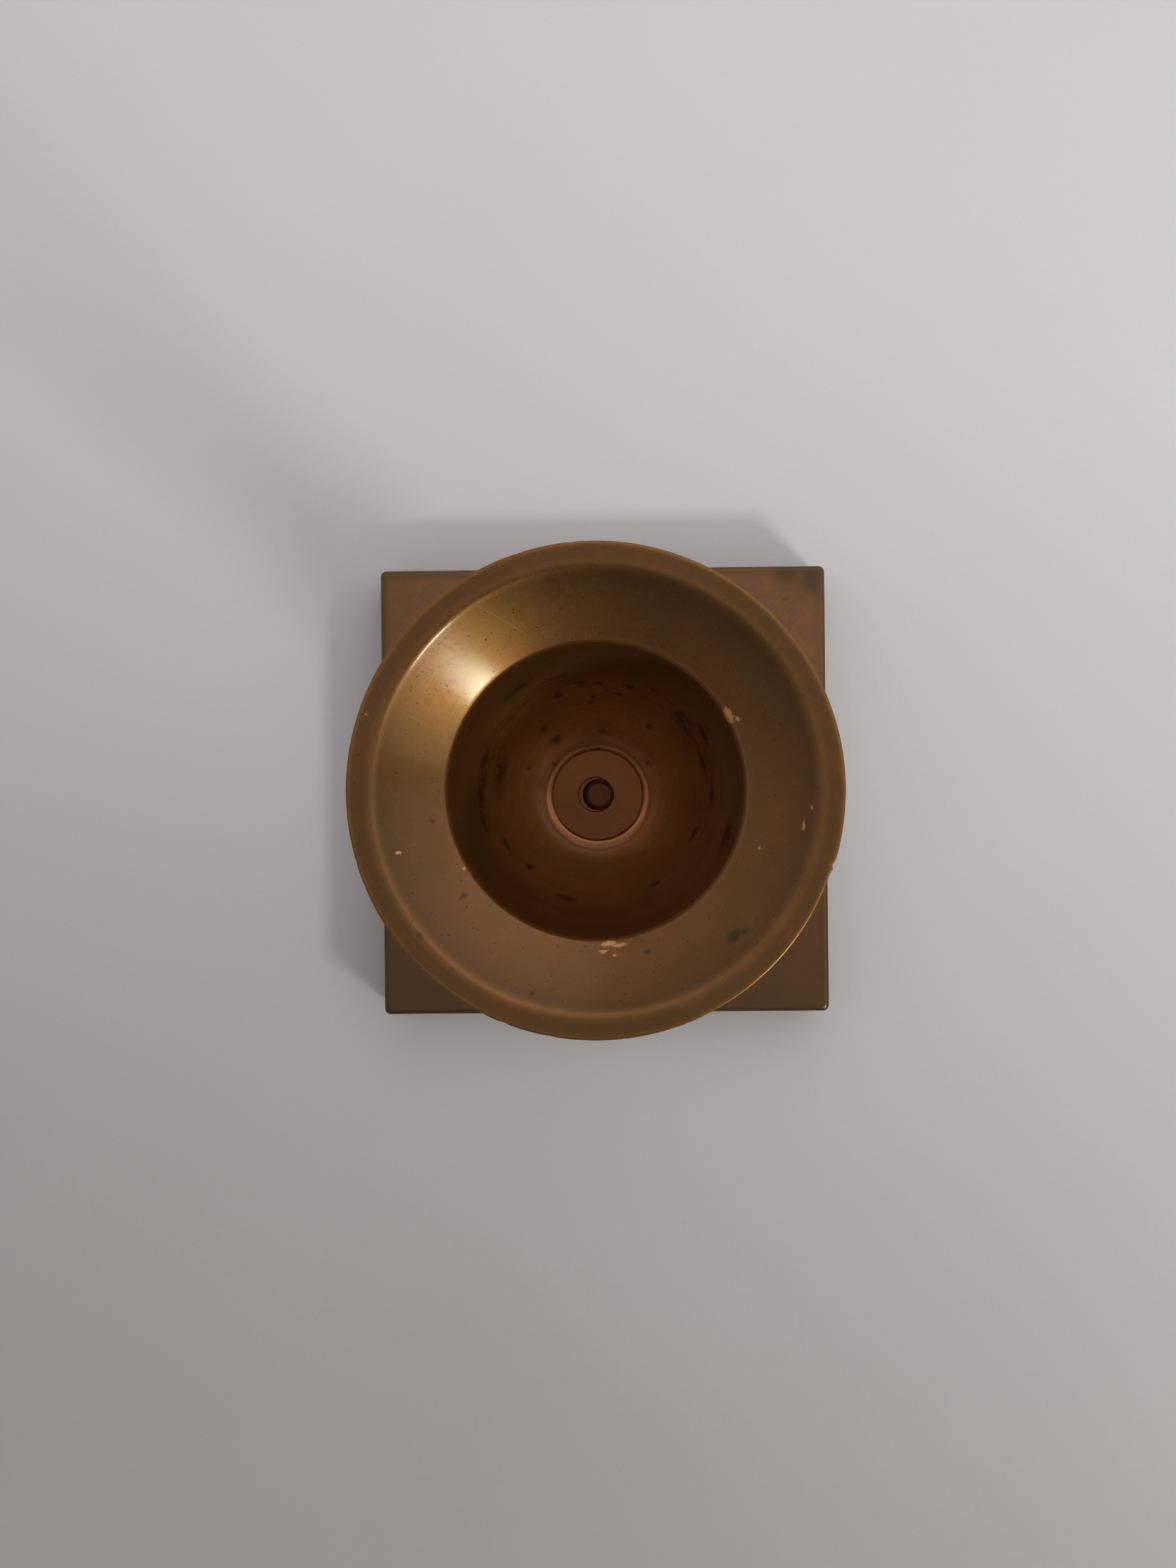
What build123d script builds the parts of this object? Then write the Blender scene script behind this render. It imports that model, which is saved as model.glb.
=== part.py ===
"""Brass candlestick: a turned candle cup with a drip pan, on a turned stem and a square foot.

Every turned piece is centred on the one below by a spigot and clamped by one long tie rod.
The rod screws into the floor of the cup and is drawn tight by a nut under the foot.
Frame: millimetres, +Z up, origin on the table at the middle of the foot, X and Y along its sides.
"""

import os
from math import cos, radians, sin, sqrt

from build123d import *

# ---- driving dimensions -------------------------------------------------------------------
FOOT_SIDE = 60.0  # square foot plate
FOOT_THICK = 7.0
FOOT_CORNER = 0.8  # vertical corner rounding
FOOT_EDGE = 0.7  # rounding of the edges of the upper face
FELT_SIDE = 57.0
FELT_THICK = 1.0
FELT_CORNER = 1.5

PAN_RADIUS = 19.0  # outside of the drip pan
PAN_RIM_WIDTH = 1.55  # flat band round the pan
PAN_DEPTH = 4.0  # top of the rim to the mouth of the well
CANDLE_RADIUS = 11.6  # bore for the candle, and radius of the rounded well below it
BORE_LENGTH = 2.5  # straight wall of the bore, above the rounded well
WELL_FLOOR_RADIUS = 3.9  # flat spot in the bottom of the well
WELL_BROW_RADIUS = 4.4  # the well rolls over here and drops to the flat spot
WELL_FLOOR_STEP = 0.45
CUP_WALL = 2.1

ROD_RADIUS = 1.25  # M2.5
ROD_CHAMFER = 0.3
ROD_PROUD = 0.8  # how far the rod stands above the floor of the well
ROD_MOUTH_RADIUS = 1.5  # the rod's hole is opened out where it breaks into the well
ROD_MOUTH_DEPTH = 0.2
ROD_MOUTH_OFFSET = 0.2  # that opening was drilled slightly off the rod's centre
BORE_RADIUS = 1.4  # clearance for the rod through every piece but the cup
SPIGOT_FIT = 0.05  # radial clearance of a spigot in its recess
SPIGOT_LENGTH = 1.5
RECESS_DEPTH = 2.0

# heights of the turned pieces, from the foot plate up to the cup
FOOT_BELL_HEIGHT = 17.0
LOWER_COLLAR_HEIGHT = 2.0
LOWER_KNOP_HEIGHT = 12.0
COLUMN_HEIGHT = 35.0
UPPER_COLLAR_HEIGHT = 2.0
UPPER_KNOP_HEIGHT = 8.0
CUP_HEIGHT = 25.0

# fasteners under the foot
NUT_FLATS = 5.0
NUT_HEIGHT = 2.0
NUT_CHAMFER = 0.3
WASHER_RADIUS = 3.0
WASHER_THICK = 0.5
SPRING_WASHER_RADIUS = 2.55
SPRING_WASHER_THICK = 0.6
SPRING_WASHER_SPLIT = 0.5
NUT_RECESS_RADIUS = 6.0
NUT_RECESS_DEPTH = 4.0
ROD_BELOW_NUT = 0.5  # length of rod left showing under the nut

# ---- levels worked out from them ----------------------------------------------------------
z_foot = FELT_THICK
z_bell = z_foot + FOOT_THICK
z_lower_collar = z_bell + FOOT_BELL_HEIGHT
z_lower_knop = z_lower_collar + LOWER_COLLAR_HEIGHT
z_column = z_lower_knop + LOWER_KNOP_HEIGHT
z_upper_collar = z_column + COLUMN_HEIGHT
z_upper_knop = z_upper_collar + UPPER_COLLAR_HEIGHT
z_cup = z_upper_knop + UPPER_KNOP_HEIGHT
z_top = z_cup + CUP_HEIGHT

lower_spigot = 3.4
knop_spigot = 2.8
upper_spigot = 2.6


def arc(start, end, sagitta):
    """An arc from start to end that bulges to the left of that line by sagitta."""
    return SagittaArc(start, end, sagitta)


# ---- felt pad -----------------------------------------------------------------------------
with BuildPart() as felt_pad:
    with BuildSketch():
        RectangleRounded(FELT_SIDE, FELT_SIDE, FELT_CORNER)
    extrude(amount=FELT_THICK)

# ---- square foot plate --------------------------------------------------------------------
with BuildPart() as foot_plate:
    with BuildSketch(Plane.XY.offset(z_foot)):
        Rectangle(FOOT_SIDE, FOOT_SIDE)
    extrude(amount=FOOT_THICK)
    fillet(foot_plate.edges().filter_by(Axis.Z), FOOT_CORNER)
    fillet(foot_plate.faces().sort_by(Axis.Z)[-1].edges(), FOOT_EDGE)
    with Locations(Plane(origin=(0, 0, z_foot), z_dir=(0, 0, -1))):
        CounterBoreHole(BORE_RADIUS, NUT_RECESS_RADIUS, NUT_RECESS_DEPTH)

# ---- round bell that rises from the plate to the stem -------------------------------------
BELL_RADIUS = 23.0
BELL_STEP = 1.6  # height of the plain step at its edge
BELL_TOP_RADIUS = 6.6
BELL_RELIEF_RADIUS = 17.0
BELL_RELIEF_DEPTH = 0.8

with BuildPart() as foot_bell:
    with BuildSketch(Plane.XZ):
        with BuildLine():
            step_top = z_bell + BELL_STEP
            bead_top = step_top + 1.8
            Line((BELL_RELIEF_RADIUS, z_bell), (BELL_RADIUS, z_bell))
            Line((BELL_RADIUS, z_bell), (BELL_RADIUS, step_top))
            arc((BELL_RADIUS, step_top), (BELL_RADIUS - 1.4, bead_top), -0.75)
            Line((BELL_RADIUS - 1.4, bead_top), (BELL_RADIUS - 2.6, bead_top))
            arc(
                (BELL_RADIUS - 2.6, bead_top),
                (BELL_TOP_RADIUS, z_lower_collar - 1.2),
                4.3,
            )
            Line(
                (BELL_TOP_RADIUS, z_lower_collar - 1.2),
                (BELL_TOP_RADIUS, z_lower_collar),
            )
            spigot_top = z_lower_knop + SPIGOT_LENGTH
            Polyline(
                (BELL_TOP_RADIUS, z_lower_collar),
                (lower_spigot, z_lower_collar),
                (lower_spigot, spigot_top),
                (BORE_RADIUS, spigot_top),
                (BORE_RADIUS, z_bell),
                (BELL_RELIEF_RADIUS - 11.0, z_bell),
                (BELL_RELIEF_RADIUS - 11.0, z_bell + BELL_RELIEF_DEPTH),
                (BELL_RELIEF_RADIUS, z_bell + BELL_RELIEF_DEPTH),
                (BELL_RELIEF_RADIUS, z_bell),
            )
        make_face()
    revolve(axis=Axis.Z)


# ---- the two collars: thin discs with a half-round edge -----------------------------------
def collar(bottom, height, radius, hole):
    """A disc of that height whose edge is a half circle, with a hole for the spigot below."""
    with BuildPart() as disc:
        with BuildSketch(Plane.XZ):
            with BuildLine():
                edge = radius - height / 2
                Line((hole, bottom), (edge, bottom))
                ThreePointArc((edge, bottom), (radius, bottom + height / 2), (edge, bottom + height))
                Polyline((edge, bottom + height), (hole, bottom + height), (hole, bottom))
            make_face()
        revolve(axis=Axis.Z)
    return disc


LOWER_COLLAR_RADIUS = 8.8
UPPER_COLLAR_RADIUS = 6.6
lower_collar = collar(
    z_lower_collar, LOWER_COLLAR_HEIGHT, LOWER_COLLAR_RADIUS, lower_spigot + SPIGOT_FIT
)
upper_collar = collar(
    z_upper_collar, UPPER_COLLAR_HEIGHT, UPPER_COLLAR_RADIUS, upper_spigot + SPIGOT_FIT
)

# ---- lower knop: a pear standing on its wide end ------------------------------------------
KNOP_FOOT_RADIUS = 5.6
KNOP_RADIUS = 8.2
KNOP_NECK_RADIUS = 4.4

with BuildPart() as lower_knop:
    with BuildSketch(Plane.XZ):
        with BuildLine():
            widest = z_lower_knop + 4.6
            shoulder = z_column - 2.4
            Line((lower_spigot + SPIGOT_FIT, z_lower_knop), (KNOP_FOOT_RADIUS, z_lower_knop))
            TangentArc((KNOP_RADIUS, widest), (KNOP_FOOT_RADIUS, z_lower_knop), tangent=(0, -1))
            TangentArc((KNOP_RADIUS, widest), (KNOP_NECK_RADIUS + 0.5, shoulder), tangent=(0, 1))
            arc((KNOP_NECK_RADIUS + 0.5, shoulder), (KNOP_NECK_RADIUS, z_column - 1.0), 0.2)
            Polyline(
                (KNOP_NECK_RADIUS, z_column - 1.0),
                (KNOP_NECK_RADIUS, z_column),
                (knop_spigot, z_column),
                (knop_spigot, z_column + SPIGOT_LENGTH),
                (BORE_RADIUS, z_column + SPIGOT_LENGTH),
                (BORE_RADIUS, z_lower_knop + RECESS_DEPTH),
                (lower_spigot + SPIGOT_FIT, z_lower_knop + RECESS_DEPTH),
                (lower_spigot + SPIGOT_FIT, z_lower_knop),
            )
        make_face()
    revolve(axis=Axis.Z)

# ---- column: tapered shaft between two beads ----------------------------------------------
BEAD_HEIGHT = 2.0
LOWER_BEAD_RADIUS = 5.9
UPPER_BEAD_RADIUS = 5.0
SHAFT_FOOT_RADIUS = 4.5
SHAFT_TOP_RADIUS = 3.5
COVE = 1.2  # radius of the hollow where the shaft meets a bead

with BuildPart() as stem_column:
    with BuildSketch(Plane.XZ):
        with BuildLine():
            bead_top = z_column + BEAD_HEIGHT
            bead_foot = z_upper_collar - BEAD_HEIGHT
            spigot_top = z_upper_knop + SPIGOT_LENGTH
            lower_edge = LOWER_BEAD_RADIUS - BEAD_HEIGHT / 2
            upper_edge = UPPER_BEAD_RADIUS - BEAD_HEIGHT / 2
            Line((knop_spigot + SPIGOT_FIT, z_column), (lower_edge, z_column))
            ThreePointArc(
                (lower_edge, z_column),
                (LOWER_BEAD_RADIUS, z_column + BEAD_HEIGHT / 2),
                (lower_edge, bead_top),
            )
            arc((lower_edge, bead_top), (SHAFT_FOOT_RADIUS, bead_top + COVE), 0.18)
            Line((SHAFT_FOOT_RADIUS, bead_top + COVE), (SHAFT_TOP_RADIUS, bead_foot - COVE))
            arc((SHAFT_TOP_RADIUS, bead_foot - COVE), (upper_edge, bead_foot), 0.18)
            ThreePointArc(
                (upper_edge, bead_foot),
                (UPPER_BEAD_RADIUS, bead_foot + BEAD_HEIGHT / 2),
                (upper_edge, z_upper_collar),
            )
            Polyline(
                (upper_edge, z_upper_collar),
                (upper_spigot, z_upper_collar),
                (upper_spigot, spigot_top),
                (BORE_RADIUS, spigot_top),
                (BORE_RADIUS, z_column + RECESS_DEPTH),
                (knop_spigot + SPIGOT_FIT, z_column + RECESS_DEPTH),
                (knop_spigot + SPIGOT_FIT, z_column),
            )
        make_face()
    revolve(axis=Axis.Z)

# ---- upper knop: a flattened ball under the cup -------------------------------------------
BALL_END_RADIUS = 3.9
BALL_RADIUS = 6.0

with BuildPart() as upper_knop:
    with BuildSketch(Plane.XZ):
        with BuildLine():
            Line((upper_spigot + SPIGOT_FIT, z_upper_knop), (BALL_END_RADIUS, z_upper_knop))
            Line((BALL_END_RADIUS, z_upper_knop), (BALL_END_RADIUS, z_upper_knop + 1.0))
            ThreePointArc(
                (BALL_END_RADIUS, z_upper_knop + 1.0),
                (BALL_RADIUS, z_upper_knop + UPPER_KNOP_HEIGHT / 2),
                (BALL_END_RADIUS, z_cup - 1.0),
            )
            Polyline(
                (BALL_END_RADIUS, z_cup - 1.0),
                (BALL_END_RADIUS, z_cup),
                (upper_spigot, z_cup),
                (upper_spigot, z_cup + SPIGOT_LENGTH),
                (BORE_RADIUS, z_cup + SPIGOT_LENGTH),
                (BORE_RADIUS, z_upper_knop + RECESS_DEPTH),
                (upper_spigot + SPIGOT_FIT, z_upper_knop + RECESS_DEPTH),
                (upper_spigot + SPIGOT_FIT, z_upper_knop),
            )
        make_face()
    revolve(axis=Axis.Z)

# ---- candle cup: rounded well, drip pan and neck in one turning ---------------------------
NECK_RADIUS = 4.5
NECK_HEIGHT = 2.4
RIM_THICK = 1.6
RIM_EDGE = 0.3
RIM_SLOPE = radians(39)  # slope of the pan just inside the rim
LIP_SLOPE = radians(35)  # slope of the pan where it reaches the well
RIM_ROUND = 1.0
LIP_ROUND = 0.7

well_drop = sqrt(CANDLE_RADIUS**2 - WELL_BROW_RADIUS**2)  # brow below the ball's centre
z_lip = z_top - PAN_DEPTH
z_wall_top = z_lip - LIP_ROUND * cos(LIP_SLOPE)
z_ball = z_wall_top - BORE_LENGTH  # centre of the ball-shaped well, and foot of the bore
z_brow = z_ball - well_drop
z_floor = z_brow - WELL_FLOOR_STEP

with BuildPart() as candle_cup:
    with BuildSketch(Plane.XZ):
        with BuildLine():
            # outside, from the neck up to the rim
            ball = CANDLE_RADIUS + CUP_WALL
            ball_start = (6.2, z_ball - sqrt(ball**2 - 6.2**2))
            flare_start = (ball, z_ball + 0.6)
            rim_foot = (PAN_RADIUS - RIM_EDGE, z_top - RIM_THICK)
            Line((upper_spigot + SPIGOT_FIT, z_cup), (NECK_RADIUS, z_cup))
            Line((NECK_RADIUS, z_cup), (NECK_RADIUS, z_cup + NECK_HEIGHT))
            arc((NECK_RADIUS, z_cup + NECK_HEIGHT), ball_start, 0.5)
            ThreePointArc(
                ball_start,
                (ball * sin(radians(60)), z_ball - ball * cos(radians(60))),
                (ball, z_ball),
            )
            Line((ball, z_ball), flare_start)
            arc(flare_start, rim_foot, 1.2)
            # the rim, its flat band and the rounded step down into the pan
            band_end = (PAN_RADIUS - PAN_RIM_WIDTH, z_top)
            pan_start = (
                band_end[0] - RIM_ROUND * sin(RIM_SLOPE),
                z_top - RIM_ROUND * (1 - cos(RIM_SLOPE)),
            )
            rim_low = (PAN_RADIUS, z_top - RIM_THICK + RIM_EDGE)
            rim_high = (PAN_RADIUS, z_top - RIM_EDGE)
            RadiusArc(rim_foot, rim_low, -RIM_EDGE)
            Line(rim_low, rim_high)
            RadiusArc(rim_high, (PAN_RADIUS - RIM_EDGE, z_top), -RIM_EDGE)
            Line((PAN_RADIUS - RIM_EDGE, z_top), band_end)
            RadiusArc(band_end, pan_start, -RIM_ROUND)
            # the dished pan, and the rounded lip into the bore
            lip = (CANDLE_RADIUS + LIP_ROUND * (1 - sin(LIP_SLOPE)), z_lip)
            TangentArc(pan_start, lip, tangent=(-cos(RIM_SLOPE), -sin(RIM_SLOPE)))
            RadiusArc(lip, (CANDLE_RADIUS, z_wall_top), -LIP_ROUND)
            Line((CANDLE_RADIUS, z_wall_top), (CANDLE_RADIUS, z_ball))
            ThreePointArc(
                (CANDLE_RADIUS, z_ball),
                (CANDLE_RADIUS * sin(radians(50)), z_ball - CANDLE_RADIUS * cos(radians(50))),
                (WELL_BROW_RADIUS, z_brow),
            )
            # the rounded brow, the flat floor, the threaded hole and the recess for the spigot
            TangentArc(
                (WELL_BROW_RADIUS, z_brow),
                (WELL_FLOOR_RADIUS, z_floor),
                tangent=(-well_drop, -WELL_BROW_RADIUS),
            )
            Polyline(
                (WELL_FLOOR_RADIUS, z_floor),
                (ROD_RADIUS, z_floor),
                (ROD_RADIUS, z_cup + RECESS_DEPTH),
                (upper_spigot + SPIGOT_FIT, z_cup + RECESS_DEPTH),
                (upper_spigot + SPIGOT_FIT, z_cup),
            )
        make_face()
    revolve(axis=Axis.Z)
    with BuildSketch(Plane.XY.offset(z_floor)):
        with Locations((-ROD_MOUTH_OFFSET, 0)):
            Circle(ROD_MOUTH_RADIUS)
    extrude(amount=-ROD_MOUTH_DEPTH, mode=Mode.SUBTRACT)

# ---- tie rod and what tightens it ---------------------------------------------------------
z_web = z_foot + NUT_RECESS_DEPTH  # underside of the plate inside the nut recess
z_washer = z_web - WASHER_THICK
z_spring = z_washer - SPRING_WASHER_THICK
z_nut = z_spring - NUT_HEIGHT
z_rod = z_nut - ROD_BELOW_NUT
z_rod_top = z_floor + ROD_PROUD

with BuildPart() as tie_rod:
    with BuildSketch(Plane.XY.offset(z_rod)):
        Circle(ROD_RADIUS)
    extrude(amount=z_rod_top - z_rod)
    chamfer(tie_rod.edges().filter_by(GeomType.CIRCLE).sort_by(Axis.Z)[-1], ROD_CHAMFER)

with BuildPart() as flat_washer:
    with BuildSketch(Plane.XY.offset(z_washer)):
        Circle(WASHER_RADIUS)
        Circle(BORE_RADIUS, mode=Mode.SUBTRACT)
    extrude(amount=WASHER_THICK)

with BuildPart() as spring_washer:
    with BuildSketch(Plane.XY.offset(z_spring)):
        Circle(SPRING_WASHER_RADIUS)
        Circle(BORE_RADIUS, mode=Mode.SUBTRACT)
        with Locations((SPRING_WASHER_RADIUS, 0)):
            Rectangle(2 * SPRING_WASHER_RADIUS, SPRING_WASHER_SPLIT, mode=Mode.SUBTRACT)
    extrude(amount=SPRING_WASHER_THICK)

with BuildPart() as base_nut:
    with BuildSketch(Plane.XY.offset(z_nut)):
        RegularPolygon(NUT_FLATS / 2, 6, major_radius=False)
        Circle(ROD_RADIUS, mode=Mode.SUBTRACT)
    extrude(amount=NUT_HEIGHT)
    # the corners are turned down to a cone at both ends
    with BuildSketch(Plane.XZ, mode=Mode.PRIVATE) as turned:
        with BuildLine():
            corner = NUT_FLATS / sqrt(3)
            Polyline(
                (0, z_nut),
                (corner - NUT_CHAMFER, z_nut),
                (corner, z_nut + NUT_CHAMFER / 2),
                (corner, z_spring - NUT_CHAMFER / 2),
                (corner - NUT_CHAMFER, z_spring),
                (0, z_spring),
                close=True,
            )
        make_face()
    revolve(turned.sketch, axis=Axis.Z, mode=Mode.INTERSECT)

# ---- one STEP file for each piece ---------------------------------------------------------
pieces = {
    "felt_pad": felt_pad,
    "foot_plate": foot_plate,
    "foot_bell": foot_bell,
    "lower_collar": lower_collar,
    "lower_knop": lower_knop,
    "stem_column": stem_column,
    "upper_collar": upper_collar,
    "upper_knop": upper_knop,
    "candle_cup": candle_cup,
    "tie_rod": tie_rod,
    "flat_washer": flat_washer,
    "spring_washer": spring_washer,
    "base_nut": base_nut,
}

os.makedirs("parts", exist_ok=True)
for name, piece in pieces.items():
    piece.part.label = name
    export_step(piece.part, f"parts/{name}.step")

print("height", z_top, "well floor", round(z_floor, 3), "foot of bore", round(z_ball, 3))
print("wall top", round(z_wall_top, 3), "rod", round(z_rod, 3), "to", round(z_rod_top, 3))
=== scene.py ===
"""The looks of a small old brass candlestick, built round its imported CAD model.

Outlines are drawn in millimetres, as radius and height, and become metres when a mesh is made.
Marks and dents are placed by angle, in degrees anticlockwise from +X seen from above, and radius.
"""

import math

import bpy
import numpy as np
from mathutils import Matrix, Vector, noise


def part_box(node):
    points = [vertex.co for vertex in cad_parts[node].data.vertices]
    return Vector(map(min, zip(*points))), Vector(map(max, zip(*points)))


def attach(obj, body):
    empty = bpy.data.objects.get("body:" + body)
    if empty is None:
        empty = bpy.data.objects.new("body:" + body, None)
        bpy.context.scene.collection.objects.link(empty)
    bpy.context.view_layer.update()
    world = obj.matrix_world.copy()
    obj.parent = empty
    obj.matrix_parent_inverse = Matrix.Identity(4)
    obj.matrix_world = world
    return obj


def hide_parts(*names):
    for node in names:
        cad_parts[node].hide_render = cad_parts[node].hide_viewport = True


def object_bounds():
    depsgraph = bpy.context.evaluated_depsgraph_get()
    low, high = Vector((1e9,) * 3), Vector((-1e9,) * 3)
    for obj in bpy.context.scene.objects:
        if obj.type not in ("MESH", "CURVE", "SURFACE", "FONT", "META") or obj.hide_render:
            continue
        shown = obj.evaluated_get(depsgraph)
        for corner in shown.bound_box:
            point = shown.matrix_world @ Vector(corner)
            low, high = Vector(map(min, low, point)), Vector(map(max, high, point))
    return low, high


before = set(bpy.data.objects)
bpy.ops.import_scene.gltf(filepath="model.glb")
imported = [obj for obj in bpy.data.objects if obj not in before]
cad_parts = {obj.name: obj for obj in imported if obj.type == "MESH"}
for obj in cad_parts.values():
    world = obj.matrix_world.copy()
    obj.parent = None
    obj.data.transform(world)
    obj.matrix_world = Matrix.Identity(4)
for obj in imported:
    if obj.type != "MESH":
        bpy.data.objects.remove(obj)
cad_low, cad_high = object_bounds()

MM = 0.001


def underside(node):
    """Height of a CAD node's lowest point, in millimetres."""
    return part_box(node)[0].z / MM


def top(node):
    """Height of a CAD node's highest point, in millimetres."""
    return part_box(node)[1].z / MM


def half_width(node):
    """How far a CAD node reaches along Y, in millimetres."""
    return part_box(node)[1].y / MM


def ramp(value, start, end):
    """0 at start and before it, 1 at end and past it, straight between. Either may be lower."""
    return np.clip((value - start) / (end - start), 0, 1)


def hump(value, middle, width):
    """1 at the middle, falling away smoothly to about a third at width to either side."""
    return np.exp(-(((value - middle) / width) ** 2))


# ---- outlines -----------------------------------------------------------------------------
SHARP_TURN = math.radians(18)


def arc_rise(start, end, tangent):
    """The rise of the arc that leaves start along tangent and arrives at end."""
    chord = np.subtract(end, start)
    cross = chord[0] * tangent[1] - chord[1] * tangent[0]
    turn = math.atan2(cross, np.dot(chord, tangent))
    return np.hypot(*chord) / 2 * math.tan(turn / 2)


def slope_direction(degrees):
    """A unit step that heads towards the axis and down at this slope."""
    return -math.cos(math.radians(degrees)), -math.sin(math.radians(degrees))


def cut_back(points, at_start, at_end):
    """The stretch of a run of points that is left when a length is cut from each end."""
    steps = np.hypot(*np.diff(points, axis=0).T)
    along = np.concatenate([[0], np.cumsum(steps)])
    keep = (along > at_start + 1e-6) & (along < along[-1] - at_end - 1e-6)
    ends = [at_start, along[-1] - at_end]
    first, last = (
        [np.interp(s, along, points[:, axis]) for axis in (0, 1)] for s in ends
    )
    return np.vstack([first, points[keep], last])


class Outline:
    """A closed outline, drawn anticlockwise with radius to the right and height upwards."""

    def __init__(self, start, step):
        self.start = start
        self.at = start
        self.step = step
        self.runs = []

    def line(self, *ends):
        """Straight runs to each end in turn."""
        for end in ends:
            length = math.dist(self.at, end)
            count = max(1, round(length / self.step))
            self.runs.append(np.linspace(self.at, end, count + 1))
            self.at = end
        return self

    def arc(self, end, rise):
        """A circular arc to end whose middle stands rise to the left of the straight line there."""
        chord = np.subtract(end, self.at)
        length = np.hypot(*chord)
        left = np.array([-chord[1], chord[0]]) / length
        radius = (length**2 / 4 + rise**2) / (2 * abs(rise))
        centre = np.add(self.at, end) / 2 + left * (rise - math.copysign(radius, rise))
        sweep = -4 * math.atan(2 * rise / length)
        first = math.atan2(*(np.array(self.at) - centre)[::-1])
        count = max(3, math.ceil(radius * abs(sweep) / self.step))
        turn = first + np.linspace(0, sweep, count + 1)
        points = centre + radius * np.stack([np.cos(turn), np.sin(turn)], 1)
        points[0], points[-1] = self.at, end
        self.runs.append(points)
        self.at = end
        return self

    def finer(self, step):
        """Runs drawn from here on have points this far apart."""
        self.step = step
        return self

    def rows(self, worn):
        """The outline's points, with each sharp corner worn round over a length of worn."""
        self.line(self.start)
        runs = self.runs
        count = len(runs)
        lengths = [np.hypot(*np.diff(run, axis=0).T).sum() for run in runs]
        cuts = []
        for i, run in enumerate(runs):
            following = runs[(i + 1) % count]
            a, b = run[-1] - run[-2], following[1] - following[0]
            turn = abs(math.atan2(a[0] * b[1] - a[1] * b[0], a @ b))
            room = 0.4 * min(lengths[i], lengths[(i + 1) % count])
            cuts.append(min(worn, room) if turn > SHARP_TURN else 0)
        rows = []
        for i, run in enumerate(runs):
            kept = cut_back(run, cuts[i - 1], cuts[i])
            if not cuts[i]:
                rows.append(kept[:-1])
                continue
            rows.append(kept)
            following = runs[(i + 1) % count]
            after = cut_back(following, cuts[i], 0)[0]
            for t in (0.25, 0.5, 0.75):
                bend = (1 - t) ** 2 * kept[-1] + 2 * t * (1 - t) * run[-1] + t**2 * after
                rows.append(bend[None])
        return np.vstack(rows)


def bending(rows):
    """How sharply the outline bends at each row, per millimetre, above zero where it is convex."""
    before = rows - np.roll(rows, 1, axis=0)
    after = np.roll(rows, -1, axis=0) - rows
    cross = before[:, 0] * after[:, 1] - before[:, 1] * after[:, 0]
    turn = np.arctan2(cross, (before * after).sum(1))
    reach = (np.hypot(*before.T) + np.hypot(*after.T)) / 2
    along = np.cumsum(np.hypot(*before.T))
    spread = 0.35
    near = hump(along[:, None], along[None], spread)
    return (near @ turn) / (near @ reach)


# ---- meshes -------------------------------------------------------------------------------
def add_object(name, points, faces, node, material, attributes=None):
    """A smooth-shaded mesh that stands for a CAD node. Points are in millimetres."""
    mesh = bpy.data.meshes.new(name)
    mesh.from_pydata((points * MM).tolist(), [], faces)
    for key, values in (attributes or {}).items():
        layer = mesh.attributes.new(key, "FLOAT", "POINT")
        layer.data.foreach_set("value", np.asarray(values, np.float32).ravel())
    mesh.shade_smooth()
    mesh.set_sharp_from_angle(angle=math.radians(40))
    mesh.materials.append(material)
    piece = bpy.data.objects.new(name, mesh)
    bpy.context.scene.collection.objects.link(piece)
    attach(piece, "root")
    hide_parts(node)
    return piece


def ring_faces(row_count, ring_count, open_ends=False):
    """Faces of a skin through rings of points, whose rows join up in a loop unless open_ends."""
    faces = []
    for i in range(row_count - (1 if open_ends else 0)):
        a, b = i * ring_count, (i + 1) % row_count * ring_count
        for j in range(ring_count):
            k = (j + 1) % ring_count
            faces.append((a + j, a + k, b + k, b + j))
    if open_ends:
        faces.append(tuple(reversed(range(ring_count))))
        faces.append(tuple(range((row_count - 1) * ring_count, row_count * ring_count)))
    return faces


def ring_points(distance, height, angles):
    """Points of rings that stand distance from the axis at each angle."""
    height = np.broadcast_to(height[:, None] if height.ndim == 1 else height, distance.shape)
    return np.stack(
        [distance * np.cos(angles), distance * np.sin(angles), height], -1
    ).reshape(-1, 3)


def unevenness(points, size, seed):
    """Smooth noise between -1 and 1 at each point, with features of that size."""
    shift = Vector((seed * 7.3, seed * 3.1, seed * 5.7))
    return np.array([noise.noise(Vector(p) / size + shift) for p in points])


def turned(
    node, rows, material, seed, ring_count=192, waver=0.02, dents=None, slip=None, marks=None
):
    """A turned piece: an outline swept round the axis, never quite true.

    waver is how far its surface strays from true. dents gives how far each point is knocked
    inwards, slip how far it lies off along X and Y, and marks adds attributes for the material.
    """
    angles = np.linspace(0, 2 * math.pi, ring_count, endpoint=False)
    distance = np.repeat(rows[:, :1], ring_count, axis=1)
    points = ring_points(distance, rows[:, 1], angles)
    bend = np.repeat(bending(rows), ring_count)
    inward = waver * (1 - unevenness(points, 3.0, seed)) / 2
    if dents:
        inward = inward + dents(points)
    points[:, 0] -= inward * np.tile(np.cos(angles), len(rows))
    points[:, 1] -= inward * np.tile(np.sin(angles), len(rows))
    if slip:
        points[:, :2] += slip(points)
    # convex edges are worn bright; concave creases are darkened, dirt and painted shade together
    painted = {"wear": np.clip(bend * 0.5, 0, 1), "grime_and_shade": np.clip(-bend * 0.5, 0, 1)}
    if marks:
        painted.update(marks(points))
    faces = ring_faces(len(rows), ring_count)
    return add_object(node + "_look", points, faces, node, material, painted)


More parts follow.
